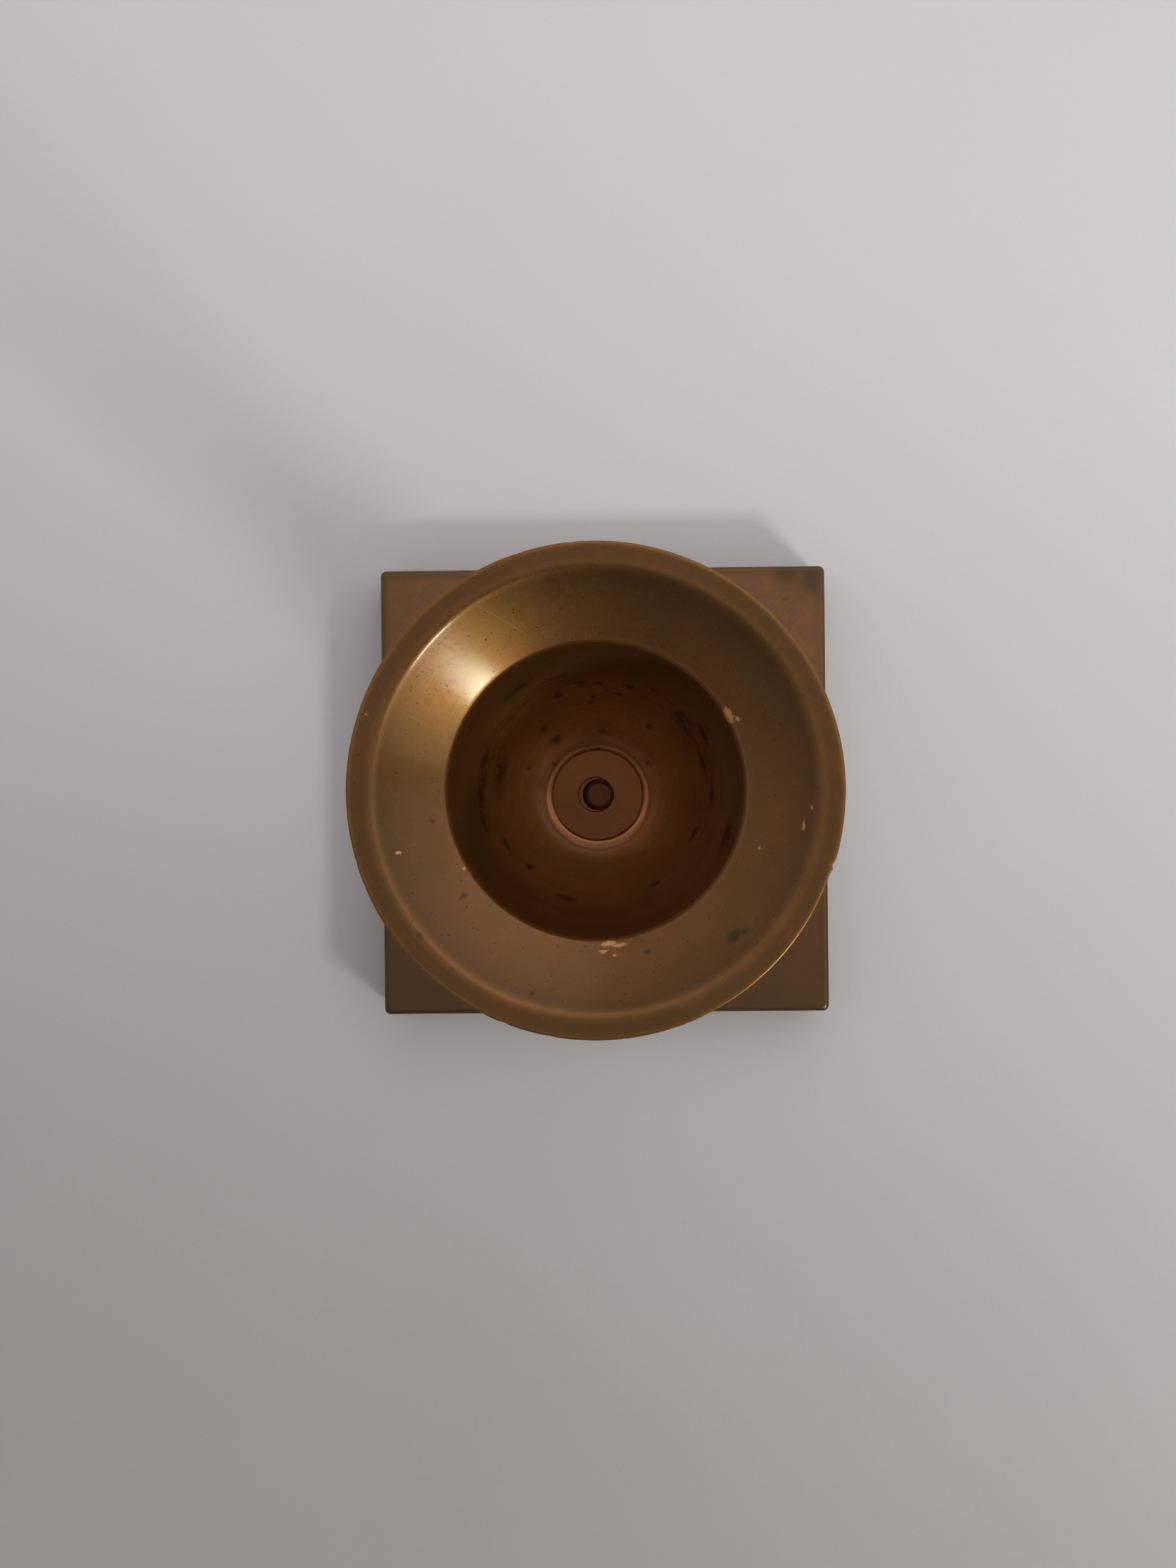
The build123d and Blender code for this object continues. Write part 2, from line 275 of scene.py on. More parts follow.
# ---- materials ----------------------------------------------------------------------------
BRASS_EDGE_TINT = (0.8, 0.6, 0.42, 1)
BRIGHT = (0.248, 0.107, 0.0315, 1)
DULL = (0.178, 0.079, 0.0225, 1)
WELL_BRIGHT = (0.260, 0.104, 0.031, 1)
WELL_DULL = (0.208, 0.080, 0.022, 1)
WELL_FLOOR_BRIGHT = (0.195, 0.049, 0.002, 1)
WELL_FLOOR_DULL = (0.155, 0.038, 0.001, 1)
# painted light on one side of the well's wall
WELL_PAINTED_LIGHT = (0.360, 0.185, 0.095, 1)
# painted highlight on the ledge
LEDGE_HIGHLIGHT = (0.420, 0.165, 0.066, 1)
# painted shade on the cup
PAINTED_SHADE_BROWN = (0.050, 0.0215, 0.0065, 1)
BARE_METAL = (0.72, 0.36, 0.155, 1)
SPOT_BROWN = (0.070, 0.035, 0.010, 1)
FOOT_BRIGHT = (0.270, 0.130, 0.058, 1)
FOOT_DULL = (0.195, 0.092, 0.040, 1)
# painted shade on the foot, darker towards -Y
FOOT_SHADE = (0.110, 0.052, 0.022, 1)
FOOT_STAIN = (0.070, 0.048, 0.026, 1)
# painted shade along the foot's edges
FOOT_EDGE_SHADE = (0.092, 0.056, 0.028, 1)
# soot for pits, smears and spots, also used as painted shade in creases
SOOT_AND_SHADE = (0.030, 0.013, 0.006, 1)
STEEL_LIGHT = (0.26, 0.22, 0.20, 1)
STEEL_DARK = (0.11, 0.085, 0.07, 1)
ROD_LIGHT = (0.130, 0.049, 0.021, 1)
ROD_DARK = (0.085, 0.030, 0.012, 1)
# dirt and painted shade on the rod's tip
ROD_DIRT_AND_SHADE = (0.07, 0.028, 0.012, 1)
FELT_DARK = (0.010, 0.030, 0.018, 1)
FELT_GREEN = (0.040, 0.088, 0.056, 1)
FELT_FADED = (0.075, 0.095, 0.060, 1)


class Graph:
    """A material being wired up. Most methods add a node and return its output socket."""

    def __init__(self, name):
        self.material = bpy.data.materials.new(name)
        self.material.use_nodes = True
        self.tree = self.material.node_tree
        self.shader = self.tree.nodes["Principled BSDF"]
        self.place = self.add("ShaderNodeTexCoord").outputs["Object"]

    def add(self, kind, inputs=None, **settings):
        node = self.tree.nodes.new(kind)
        for key, value in settings.items():
            setattr(node, key, value)
        for key, value in (inputs or {}).items():
            self.feed(node.inputs[key], value)
        return node

    def feed(self, socket, value):
        if isinstance(value, bpy.types.NodeSocket):
            self.tree.links.new(value, socket)
        else:
            socket.default_value = value

    def math(self, operation, *values, clamp=False):
        inputs = dict(enumerate(values))
        node = self.add("ShaderNodeMath", inputs, operation=operation, use_clamp=clamp)
        return node.outputs[0]

    def scaled(self, amounts):
        """Object position in metres, multiplied by an amount along each axis."""
        inputs = {0: self.place, 1: amounts}
        return self.add("ShaderNodeVectorMath", inputs, operation="MULTIPLY").outputs[0]

    def noise(self, scale, detail=3.0, roughness=0.55, vector=None):
        inputs = {
            "Vector": vector or self.place,
            "Scale": scale,
            "Detail": detail,
            "Roughness": roughness,
        }
        return self.add("ShaderNodeTexNoise", inputs).outputs["Fac"]

    def step(self, value, low, high):
        """A smooth step from 0 at low to 1 at high."""
        inputs = {"Value": value, "From Min": low, "From Max": high}
        node = self.add("ShaderNodeMapRange", inputs, interpolation_type="SMOOTHSTEP")
        return node.outputs[0]

    def blend(self, share, first, second, blend_type="MIX"):
        node = self.add("ShaderNodeMix", data_type="RGBA", blend_type=blend_type)
        colours = [s for s in node.inputs if s.type == "RGBA"]
        self.feed(node.inputs[0], share)
        self.feed(colours[0], first)
        self.feed(colours[1], second)
        return next(s for s in node.outputs if s.type == "RGBA")

    def attribute(self, name):
        return self.add("ShaderNodeAttribute", attribute_name=name).outputs["Fac"]

    def total(self, *terms):
        """The sum of (socket, weight) terms."""
        value = 0.0
        for socket, weight in terms:
            value = self.math("MULTIPLY_ADD", socket, weight, value)
        return value

    def turning(self, fineness=4200.0, along=0.35):
        """Noise drawn out along the circles that a lathe tool leaves, with no seam.

        fineness is how fast it changes across the circles, and along how fast it does along them.
        """
        split = self.add("ShaderNodeSeparateXYZ", {0: self.place}).outputs
        square = self.math("MULTIPLY", split[0], split[0])
        square = self.math("MULTIPLY_ADD", split[1], split[1], square)
        radius = self.math("SQRT", square)
        safe = self.math("MAXIMUM", radius, 0.0002)
        across = self.math("MULTIPLY_ADD", split[2], 0.8, radius)
        inputs = {
            0: self.math("MULTIPLY", self.math("DIVIDE", split[0], safe), along),
            1: self.math("MULTIPLY", self.math("DIVIDE", split[1], safe), along),
            2: self.math("MULTIPLY", across, fineness),
        }
        vector = self.add("ShaderNodeCombineXYZ", inputs).outputs[0]
        return self.noise(1.0, 4.0, 0.6, vector)

    def bump(self, height, distance):
        inputs = {"Height": height, "Strength": 1.0, "Distance": distance}
        normal = self.add("ShaderNodeBump", inputs).outputs[0]
        self.feed(self.shader.inputs["Normal"], normal)


def hairlines(g, scale, slant):
    """Hair-thin straight scratches: noise squeezed very hard across one direction."""
    squeeze = 70
    turn = g.add("ShaderNodeVectorRotate", {"Vector": g.place, "Angle": slant})
    squeezed = g.add(
        "ShaderNodeVectorMath",
        {0: turn.outputs[0], 1: (scale, scale * squeeze, scale)},
        operation="MULTIPLY",
    ).outputs[0]
    lines = g.noise(1.0, 0.0, 0.4, squeezed)
    return g.step(lines, 0.78, 0.84)


def aged_brass(name, bright, dull, roughness, marked=False, stained_and_shaded=False):
    """Old brass that has darkened unevenly and is worn bright where hands reach it.

    marked adds what the candle cup's own attributes show, painted shade and highlights among them,
    and the last flag adds the foot plate's stains and its painted shade.
    """
    g = Graph(name)
    rings = g.turning()
    broad = g.noise(70.0, 3.0)
    mottle = g.noise(330.0, 6.0, 0.62)
    grain = g.noise(2400.0, 5.0, 0.65)
    tone = g.total((broad, 0.55), (mottle, 0.5), (rings, 0.15), (grain, 0.45))
    colour = g.blend(g.step(tone, 0.6, 1.1), dull, bright)
    olive = (dull[0] * 0.92, dull[1] * 1.05, dull[2] * 0.95, 1)
    colour = g.blend(g.math("MULTIPLY", g.step(broad, 0.48, 0.62), 0.75), colour, olive)
    copper = (bright[0] * 1.05, bright[1] * 0.86, bright[2] * 0.8, 1)
    colour = g.blend(g.math("MULTIPLY", g.step(mottle, 0.5, 0.68), 0.6), colour, copper)
    pores = g.add("ShaderNodeTexVoronoi", {"Vector": g.place, "Scale": 2300.0})
    share = g.add("ShaderNodeSeparateColor", {0: pores.outputs["Color"]}).outputs[0]
    ragged = g.total((grain, 0.3), (pores.outputs["Distance"], 1.0))
    pore = g.math("MULTIPLY", g.step(ragged, 0.36, 0.22), g.step(share, 0.7, 0.74))
    colour = g.blend(g.math("MULTIPLY", pore, 0.6), colour, SOOT_AND_SHADE)

    # concave creases are made darker, blending dirt with painted shade; on the cup, none on the
    # well's floor
    creased = g.attribute("grime_and_shade")
    if marked:
        creased = g.math("MULTIPLY", creased, g.attribute("calm"))
    wear = g.step(g.total((g.attribute("wear"), 1.0), (mottle, 0.8)), 0.6, 1.25)
    grime_and_shade = g.step(g.total((creased, 1.0), (mottle, 0.6)), 0.5, 1.2)
    worn = (bright[0] * 1.25, bright[1] * 1.3, bright[2] * 1.3, 1)
    colour = g.blend(g.math("MULTIPLY", wear, 0.3), colour, worn)
    colour = g.blend(g.math("MULTIPLY", grime_and_shade, 0.7), colour, SOOT_AND_SHADE)
    hair = g.math("MAXIMUM", hairlines(g, 70.0, 0.5), hairlines(g, 90.0, 2.2))
    colour = g.blend(g.math("MULTIPLY", hair, 0.16), colour, worn)

    rough = g.total((grain, 0.14), (mottle, 0.14), (rings, 0.08), (grime_and_shade, 0.2), (wear, -0.06))
    rough = g.math("ADD", rough, roughness - 0.18)
    relief = [(rings, 0.3), (grain, 0.35), (mottle, 0.12), (pore, -0.6), (hair, -0.15)]
    if stained_and_shaded:
        # painted shade on the foot: darker towards -Y and along its edges, besides its stains
        tarnish = g.total((g.attribute("tarnish"), 0.8), (broad, 0.3), (mottle, 0.15))
        colour = g.blend(g.math("MULTIPLY", g.step(tarnish, 0.3, 1.0), 0.95), colour, FOOT_SHADE)
        ragged = g.total((g.attribute("stain"), 1.0), (mottle, 0.7), (grain, 0.3))
        stain = g.math("MULTIPLY", g.step(ragged, 0.8, 1.6), 0.75)
        colour = g.blend(stain, colour, FOOT_STAIN)
        border = g.total((g.attribute("border"), 0.9), (mottle, 0.4))
        colour = g.blend(g.math("MULTIPLY", g.step(border, 0.3, 1.1), 0.8), colour, FOOT_EDGE_SHADE)
        rough = g.total((rough, 1.0), (stain, 0.15))
    g.shader.inputs["Metallic"].default_value = 1.0
    if marked:
        colour, rough = add_marks(g, colour, rough, mottle, grain, rings, relief)
    g.feed(g.shader.inputs["Base Color"], colour)
    g.feed(g.shader.inputs["Roughness"], rough)
    g.shader.inputs["Coat Weight"].default_value = 0.44
    g.shader.inputs["Coat Roughness"].default_value = 0.13
    g.shader.inputs["Specular Tint"].default_value = BRASS_EDGE_TINT
    g.bump(g.total(*relief), 0.00002)
    return g.material


def add_marks(g, colour, rough, mottle, grain, rings, relief):
    """The candle cup's own marks: the browned well, soot and wax spots, and bare scrapes, with its
    painted shade and painted light.

    Returns the new colour and roughness, and adds the marks' own terms to relief.
    """
    well = g.attribute("well")
    tone = g.step(g.total((mottle, 0.6), (rings, 0.4)), 0.35, 0.65)
    browned = g.blend(tone, WELL_DULL, WELL_BRIGHT)
    floor = g.blend(tone, WELL_FLOOR_DULL, WELL_FLOOR_BRIGHT)
    browned = g.blend(g.attribute("calm"), floor, browned)
    # painted light: one side of the well's wall paler
    browned = g.blend(g.attribute("pale"), browned, WELL_PAINTED_LIGHT)
    colour = g.blend(well, colour, browned)
    # painted shade over the dish, rim, bead, bowl, wall and floor
    colour = g.blend(g.attribute("patina"), colour, PAINTED_SHADE_BROWN)
    # painted highlight on the ledge and its step
    ledge = g.math("MULTIPLY", g.attribute("ledge"), g.step(mottle, 0.2, 0.5))
    colour = g.blend(ledge, colour, LEDGE_HIGHLIGHT)
    rough = g.total((rough, 1.0), (well, -0.09))
    smear = g.math("MULTIPLY", g.step(g.turning(1300.0, 2.6), 0.5, 0.68), g.attribute("tide"))
    colour = g.blend(g.math("MULTIPLY", smear, 0.55), colour, SOOT_AND_SHADE)
    ragged = g.total((grain, 1.3), (mottle, 1.2), (g.attribute("soot"), 1.0))
    spot = g.step(ragged, 1.3, 2.15)
    spot_colour = g.blend(well, SPOT_BROWN, SOOT_AND_SHADE)
    colour = g.blend(g.math("MULTIPLY", spot, 0.8), colour, spot_colour)
    scraped = g.total((grain, 1.1), (rings, 0.4), (g.attribute("bare"), 1.0))
    bare = g.step(scraped, 1.1, 1.4)
    colour = g.blend(g.math("MULTIPLY", bare, 0.9), colour, BARE_METAL)
    rough = g.total((rough, 1.0), (spot, 0.12), (bare, 0.1))
    relief += [(spot, -0.8), (bare, -0.8)]
    metallic = g.total((well, -0.34), (ledge, 0.25), (g.attribute("step"), -0.6))
    metallic = g.math("ADD", metallic, 1.0, clamp=True)
    g.feed(g.shader.inputs["Metallic"], metallic)
    return colour, rough


def old_steel(name, light, dark):
    """Dull steel. Its darkening attribute marks dirt and painted shade together."""
    g = Graph(name)
    mottle = g.noise(900.0, 5.0, 0.6)
    grain = g.noise(5200.0, 4.0, 0.6)
    tone = g.step(g.total((mottle, 0.7), (grain, 0.4)), 0.4, 0.8)
    colour = g.blend(tone, dark, light)
    # dirt and painted shade where the attribute marks it
    colour = g.blend(g.math("MULTIPLY", g.attribute("grime_and_shade"), 0.7), colour, ROD_DIRT_AND_SHADE)
    g.feed(g.shader.inputs["Base Color"], colour)
    g.feed(g.shader.inputs["Roughness"], g.math("MULTIPLY_ADD", mottle, 0.3, 0.32))
    g.feed(g.shader.inputs["Metallic"], g.math("MULTIPLY_ADD", g.attribute("grime_and_shade"), -0.8, 1.0))
    g.bump(g.total((mottle, 0.6), (grain, 0.5)), 0.000012)
    return g.material


def felt(name):
    """Green felt, matted and a little faded."""
    g = Graph(name)
    hairs = g.noise(3800.0, 6.0, 0.75, g.scaled((1.0, 0.45, 1.0)))
    patches = g.noise(160.0, 4.0)
    green = g.blend(g.step(hairs, 0.35, 0.68), FELT_DARK, FELT_GREEN)
    colour = g.blend(g.math("MULTIPLY", g.step(patches, 0.5, 0.75), 0.4), green, FELT_FADED)
    g.feed(g.shader.inputs["Base Color"], colour)
    g.shader.inputs["Roughness"].default_value = 0.95
    g.shader.inputs["Sheen Weight"].default_value = 0.35
    g.shader.inputs["Sheen Roughness"].default_value = 0.5
    g.bump(hairs, 0.00025)
    return g.material


brass_cup = aged_brass("aged_brass_cup", BRIGHT, DULL, 0.44, marked=True)
brass_stem = aged_brass("aged_brass_stem", BRIGHT, DULL, 0.34)
brass_foot = aged_brass("aged_brass_foot", FOOT_BRIGHT, FOOT_DULL, 0.44, stained_and_shaded=True)
steel = old_steel("old_steel", STEEL_LIGHT, STEEL_DARK)
browned_steel = old_steel("browned_steel", ROD_LIGHT, ROD_DARK)
green_felt = felt("green_felt")

# ---- how the pieces fit together ----------------------------------------------------------
EDGE_WEAR = 0.2
ROD_RADIUS = half_width("tie_rod")
ROD_BORE = 1.4
SPIGOT_LENGTH = 1.5
RECESS_DEPTH = 2.0
LOWER_SPIGOT = 3.4
KNOP_SPIGOT = 2.8
COLUMN_SPIGOT = 2.6
SPIGOT_FIT = 0.05
LOWER_HOLE = LOWER_SPIGOT + SPIGOT_FIT
KNOP_HOLE = KNOP_SPIGOT + SPIGOT_FIT
COLUMN_HOLE = COLUMN_SPIGOT + SPIGOT_FIT

# ---- candle cup ---------------------------------------------------------------------------
CUP_RINGS = 360
PAN_RIM_WIDTH = 1.55
PAN_DEPTH = 4.0
CANDLE_RADIUS = 11.6
WELL_FLOOR_RADIUS = 3.9
WELL_BROW_RADIUS = 4.4
WELL_FLOOR_STEP = 0.45
LEDGE_OUTER = 4.9  # between these the well flattens out before it drops to the floor
LEDGE_INNER = 4.35
LEDGE_FALL = 0.28
LEDGE_ROUND = 0.25
CUP_WALL = 2.1
NECK_RADIUS = 4.5
NECK_HEIGHT = 2.4
RIM_THICK = 1.6
RIM_ROUND = 1.0
RIM_SLOPE = 39
LIP_ROUND = 0.7
LIP_SLOPE = 35
BORE_LENGTH = 2.5
BALL_FOOT_RADIUS = 6.2
ROD_MOUTH_RADIUS = 1.5
ROD_MOUTH_DEPTH = 0.14
ROD_MOUTH_OFFSET = 0.2


def cup_outline():
    """The candle cup: neck, round outside, flared pan, rim, dished pan, and the rounded well.

    Returns its rows, and the heights of the well's centre, the well's floor and the rod's bore.
    """
    low, high, pan = underside("candle_cup"), top("candle_cup"), half_width("candle_cup")
    lip_angle, rim_angle = math.radians(LIP_SLOPE), math.radians(RIM_SLOPE)
    mouth = high - PAN_DEPTH
    wall_top = mouth - LIP_ROUND * math.cos(lip_angle)
    centre = wall_top - BORE_LENGTH
    floor = centre - math.sqrt(CANDLE_RADIUS**2 - WELL_BROW_RADIUS**2) - WELL_FLOOR_STEP
    ball = CANDLE_RADIUS + CUP_WALL
    ball_foot = (BALL_FOOT_RADIUS, centre - math.sqrt(ball**2 - BALL_FOOT_RADIUS**2))
    band = (pan - PAN_RIM_WIDTH, high)
    pan_start = (
        band[0] - RIM_ROUND * math.sin(rim_angle),
        high - RIM_ROUND * (1 - math.cos(rim_angle)),
    )
    lip = (CANDLE_RADIUS + LIP_ROUND * (1 - math.sin(lip_angle)), mouth)

    drawn = Outline((COLUMN_HOLE, low), 0.7)
    drawn.line((NECK_RADIUS, low), (NECK_RADIUS, low + NECK_HEIGHT))
    drawn.arc(ball_foot, 0.5)
    round_the_ball = (centre - ball_foot[1], ball_foot[0])
    drawn.arc((ball, centre), arc_rise(ball_foot, (ball, centre), round_the_ball))
    drawn.line((ball, centre + 0.6))
    drawn.arc((pan - 0.3, high - RIM_THICK), 1.2)
    drawn.finer(0.2).line((pan, high - RIM_THICK), (pan, high), band)
    drawn.finer(0.1).arc(pan_start, arc_rise(band, pan_start, (-1, 0)))
    drawn.finer(0.2).arc(lip, arc_rise(pan_start, lip, slope_direction(RIM_SLOPE)))
    wall = (CANDLE_RADIUS, wall_top)
    drawn.finer(0.12).arc(wall, arc_rise(lip, wall, slope_direction(LIP_SLOPE)))
    drawn.finer(0.25).line((CANDLE_RADIUS, centre))
    drop = math.sqrt(CANDLE_RADIUS**2 - LEDGE_OUTER**2)
    brow, ledge = (LEDGE_OUTER, centre - drop), (LEDGE_INNER, centre - drop - LEDGE_FALL)
    drawn.finer(0.2).arc(brow, arc_rise((CANDLE_RADIUS, centre), brow, (0, -1)))
    drawn.finer(0.1).arc(ledge, arc_rise(brow, ledge, (-drop, -LEDGE_OUTER)))
    edge = (WELL_FLOOR_RADIUS + LEDGE_ROUND, ledge[1] - 0.02)
    below = (WELL_FLOOR_RADIUS, edge[1] - LEDGE_ROUND)
    drawn.finer(0.04).line(edge).arc(below, arc_rise(edge, below, (-1, -0.1)))
    drawn.finer(0.2).line((WELL_FLOOR_RADIUS - 0.05, floor), (ROD_MOUTH_RADIUS, floor))
    drawn.line((ROD_MOUTH_RADIUS, floor - ROD_MOUTH_DEPTH))
    drawn.finer(0.7).line(
        (ROD_RADIUS, floor - ROD_MOUTH_DEPTH),
        (ROD_RADIUS, low + RECESS_DEPTH),
        (COLUMN_HOLE, low + RECESS_DEPTH),
    )
    return drawn.rows(EDGE_WEAR), {"centre": centre, "floor": floor, "bore": low + RECESS_DEPTH}


# the cup's dark spots: angle, radius, length round the axis and width
SOOT_SPOTS = (
    (170, 8.3, 0.95, 0.26),
    (165, 9.7, 0.75, 0.17),
    (175, 9.5, 0.45, 0.14),
    (183, 9.7, 0.65, 0.15),
    (194, 9.8, 0.60, 0.14),
    (40, 9.2, 0.55, 0.26),
    (33, 9.0, 0.65, 0.20),
    (27, 10.0, 0.60, 0.14),
    (15, 9.1, 0.50, 0.12),
    (130, 7.0, 0.32, 0.17),
    (128, 5.6, 0.36, 0.20),
    (161, 6.1, 0.13, 0.12),
    (90, 3.6, 0.13, 0.12),
    (102, 3.9, 0.12, 0.10),
    (148, 4.3, 0.13, 0.12),
    (51, 7.0, 0.17, 0.13),
    (29, 4.9, 0.15, 0.12),
    (-132, 8.6, 0.26, 0.15),
    (-20, 11.2, 0.80, 0.16),
    (-47, 15.3, 0.38, 0.22),
    (-44, 15.6, 0.17, 0.12),
    (-73, 13.1, 0.15, 0.12),
    (-170, 12.9, 0.12, 0.09),
    (-142, 13.1, 0.12, 0.19),
    (-108, 16.2, 0.10, 0.10),
    (-141, 17.3, 0.22, 0.12),
    (127, 10.6, 0.85, 0.14),
    (112, 8.65, 0.24, 0.10),
    (98, 9.1, 0.30, 0.11),
    (89, 9.0, 0.28, 0.10),
    (84, 8.5, 0.18, 0.09),
    (77, 8.3, 0.24, 0.09),
    (72, 9.1, 0.38, 0.11),
    (92, 7.95, 0.14, 0.09),
    (94, 7.5, 0.22, 0.09),
    (84, 5.1, 0.34, 0.16),
    (60, 9.6, 0.40, 0.08),
    (-3, 9.6, 0.40, 0.09),
    (-25, 8.9, 0.35, 0.10),
    (-60, 9.2, 0.40, 0.12),
    (-107, 9.4, 0.55, 0.14),
    (-150, 8.9, 0.40, 0.10),
)
# the same for its scrapes down to bare metal
BARE_SCRAPES = (
    (29, 11.95, 0.60, 0.30),
    (26, 12.35, 0.22, 0.16),
    (-86, 12.0, 0.62, 0.22),
    (-82, 12.2, 0.50, 0.16),
    (-88, 12.55, 0.34, 0.12),
    (-84, 12.9, 0.22, 0.10),
    (-20, 13.4, 0.20, 0.14),
    (-150, 12.0, 0.16, 0.13),
    (-10, 16.1, 0.34, 0.11),
    (-5, 16.5, 0.14, 0.09),
    (-163, 15.8, 0.10, 0.20),
    (161, 18.3, 0.15, 0.13),
    (122, 18.75, 0.50, 0.12),
)
# angle, half width in degrees and depth of the nicks in the rim
RIM_NICKS = (
    (-18, 0.7, 0.15),
    (-52, 1.1, 0.04),
    (-72, 0.8, 0.05),
    (-101, 1.0, 0.05),
    (-112, 0.9, 0.07),
    (-118, 0.7, 0.03),
    (-164, 0.9, 0.03),
    (140, 0.9, 0.04),
    (95, 0.8, 0.03),
    (38, 1.0, 0.03),
)
NICK_REACH = 0.55  # how far in from the rim's edge a nick reaches
NICK_DROP = 2.2  # and how far below the rim's top
CHIP_SIZE = 0.7
CHIP_DEPTH = 0.08
WELL_SLIP = 0.36  # how far towards -Y the bottom of the well lies
LEDGE_SLIP = 0.14  # and how much further the ledge round it does
RIM_FLAT = (-19, 26, 0.12)  # where the rim is worn low: first angle, length round, depth


def polar(points):
    """Angle in degrees and radius of each point."""
    return np.degrees(np.arctan2(points[:, 1], points[:, 0])), np.hypot(*points[:, :2].T)


def angle_between(angles, other):
    """How far angles lie past other, in degrees from -180 to 180."""
    return (angles - other + 180) % 360 - 180


def spots(points, places, upper, size):
    """A field that is 1 at the middle of each mark, 0.5 at its edge and 0 at twice its size."""
    angles, radii = polar(points)
    field = np.zeros(len(points))
    for angle, radius, length, width in places:
        across = (radii - radius) / (width * size)
        along = np.radians(angle_between(angles, angle)) * radius / (length * size)
        field = np.maximum(field, 1 - np.hypot(across, along) / 2)
    return np.where(upper, field, 0)


def make_cup():
    """The candle cup, with its knocked rim, off-centre rod hole and marks."""
    rows, levels = cup_outline()
    rim = half_width("candle_cup")
    high = top("candle_cup")
    rim_row = np.argmax(rows[:, 1] >= high - 0.01)
    inside = np.arange(len(rows) * CUP_RINGS) // CUP_RINGS > rim_row

    def dents(points):
        angles, radii = polar(points)
        at_rim = hump(radii, rim, NICK_REACH) * (points[:, 2] > high - NICK_DROP)
        depth = np.zeros(len(points))
        for angle, half, deep in RIM_NICKS:
            depth = np.maximum(depth, deep * hump(angle_between(angles, angle), 0, half))
        first, length, deep = RIM_FLAT
        past = angle_between(first, angles)
        depth = np.maximum(depth, np.where(past > 0, deep * np.exp(-past / length), 0))
        chips = np.clip(unevenness(points, CHIP_SIZE, 9) - 0.4, 0, 1) * CHIP_DEPTH
        return at_rim * (depth + chips)

    def slip(points):
        off = np.zeros((len(points), 2))
        off[:, 0] = -rod_hole_slip(points, levels["floor"])
        off[:, 1] = -np.where(inside, well_slip(points[:, 2], **levels), 0)
        radii = np.hypot(*points[:, :2].T)
        # all of it round the ledge, and less and less up the bowl
        share = ramp(radii, 4.1, 4.5) * ramp(radii, 8.0, 4.8)
        near = inside & (points[:, 2] < levels["centre"]) & (points[:, 2] > levels["floor"])
        off[:, 1] -= LEDGE_SLIP * np.where(near, share, 0)
        return off

    def marks(points):
        """How strong each kind of mark, painted shade and painted light is. Angles are in radians
        here, lengths in millimetres.
        """
        angles, radii = polar(points)
        turn = np.radians(angles)
        above = points[:, 2] - levels["floor"]
        step_radius = WELL_FLOOR_RADIUS + LEDGE_ROUND
        seen = inside & (above > -0.01)
        into_well = ramp(radii, CANDLE_RADIUS + 0.55, CANDLE_RADIUS + 0.05)
        on_floor = (radii < step_radius) & (above < 0.1)
        near_step = seen & (above > 0.02) & (above < 0.9)
        on_step = near_step & (radii < step_radius)

        # painted highlight: paler metal on the ledge and its step, strongest on the -Y side, which
        # faces the room's light, and in two opposite arcs just above
        lit_side = np.clip(0.75 - 0.6 * np.cos(turn - math.radians(80)), 0, 1)
        lit_ledge = lit_side * hump(np.maximum(radii, LEDGE_INNER), LEDGE_INNER, 0.3)
        lit_ledge = np.where(near_step & (above > 0.1), lit_ledge, 0)
        pale_arcs = np.clip(np.cos(2 * (turn + 0.8)), 0, 1) * hump(radii, 5.0, 1.1)
        pale_arcs *= seen & (above > 0.1) & (above < 2.5)

        # the band of sooty smears round the well
        far_side = 0.6 + 0.4 * np.sin(turn)
        tide = np.where(seen, far_side * hump(radii, 9.3, 1.1), 0)

        # painted shade: darker over the dish of the pan and its rim, over its bead most towards +X
        # and +Y, and on one side each of the bowl, the wall and the floor
        over_dish = ramp(radii, 12.3, 16.4) ** 1.5 * ramp(radii, 17.0, 16.5)
        over_rim = ramp(radii, 17.4, 17.8)
        over_bead = hump(radii, 17.1, 0.4) * (0.5 + 0.5 * np.cos(turn - 1.0))
        over_bowl = np.clip(-np.sin(turn), 0, 1) * hump(radii, 6.0, 1.2)
        on_wall = ramp(radii, 9.2, 10.7) * ramp(radii, 12.0, 11.6)
        over_wall = on_wall * (0.5 + 0.5 * np.cos(turn - 2.7))
        over_floor = on_floor * np.clip(np.cos(turn + 2.0), 0, 1)
        patina = 0.45 * over_dish + 0.36 * over_rim + 0.35 * over_bead + 0.4 * over_bowl
        patina += 0.45 * over_wall + 0.22 * over_floor
        return {
            "patina": np.where(inside, patina, 0),
            "tide": tide,
            "ledge": np.max([lit_ledge, 0.8 * lit_side * on_step, 0.45 * pale_arcs], axis=0),
            "step": on_step,
            "calm": np.where(on_floor, 0, np.clip(0.4 + 0.35 * (radii - 4.7), 0.4, 1)),
            # painted light: the wall paler towards +X
            "pale": np.where(inside, 0.7 * on_wall * np.clip(np.cos(turn - 0.2), 0, 1), 0),
            "well": np.where(inside, into_well, 0),
            "soot": spots(points, SOOT_SPOTS, seen, 1.35),
            "bare": spots(points, BARE_SCRAPES, seen, 1.0),
        }

    turned("candle_cup", rows, brass_cup, 3, CUP_RINGS, 0.03, dents, slip, marks)
    return levels


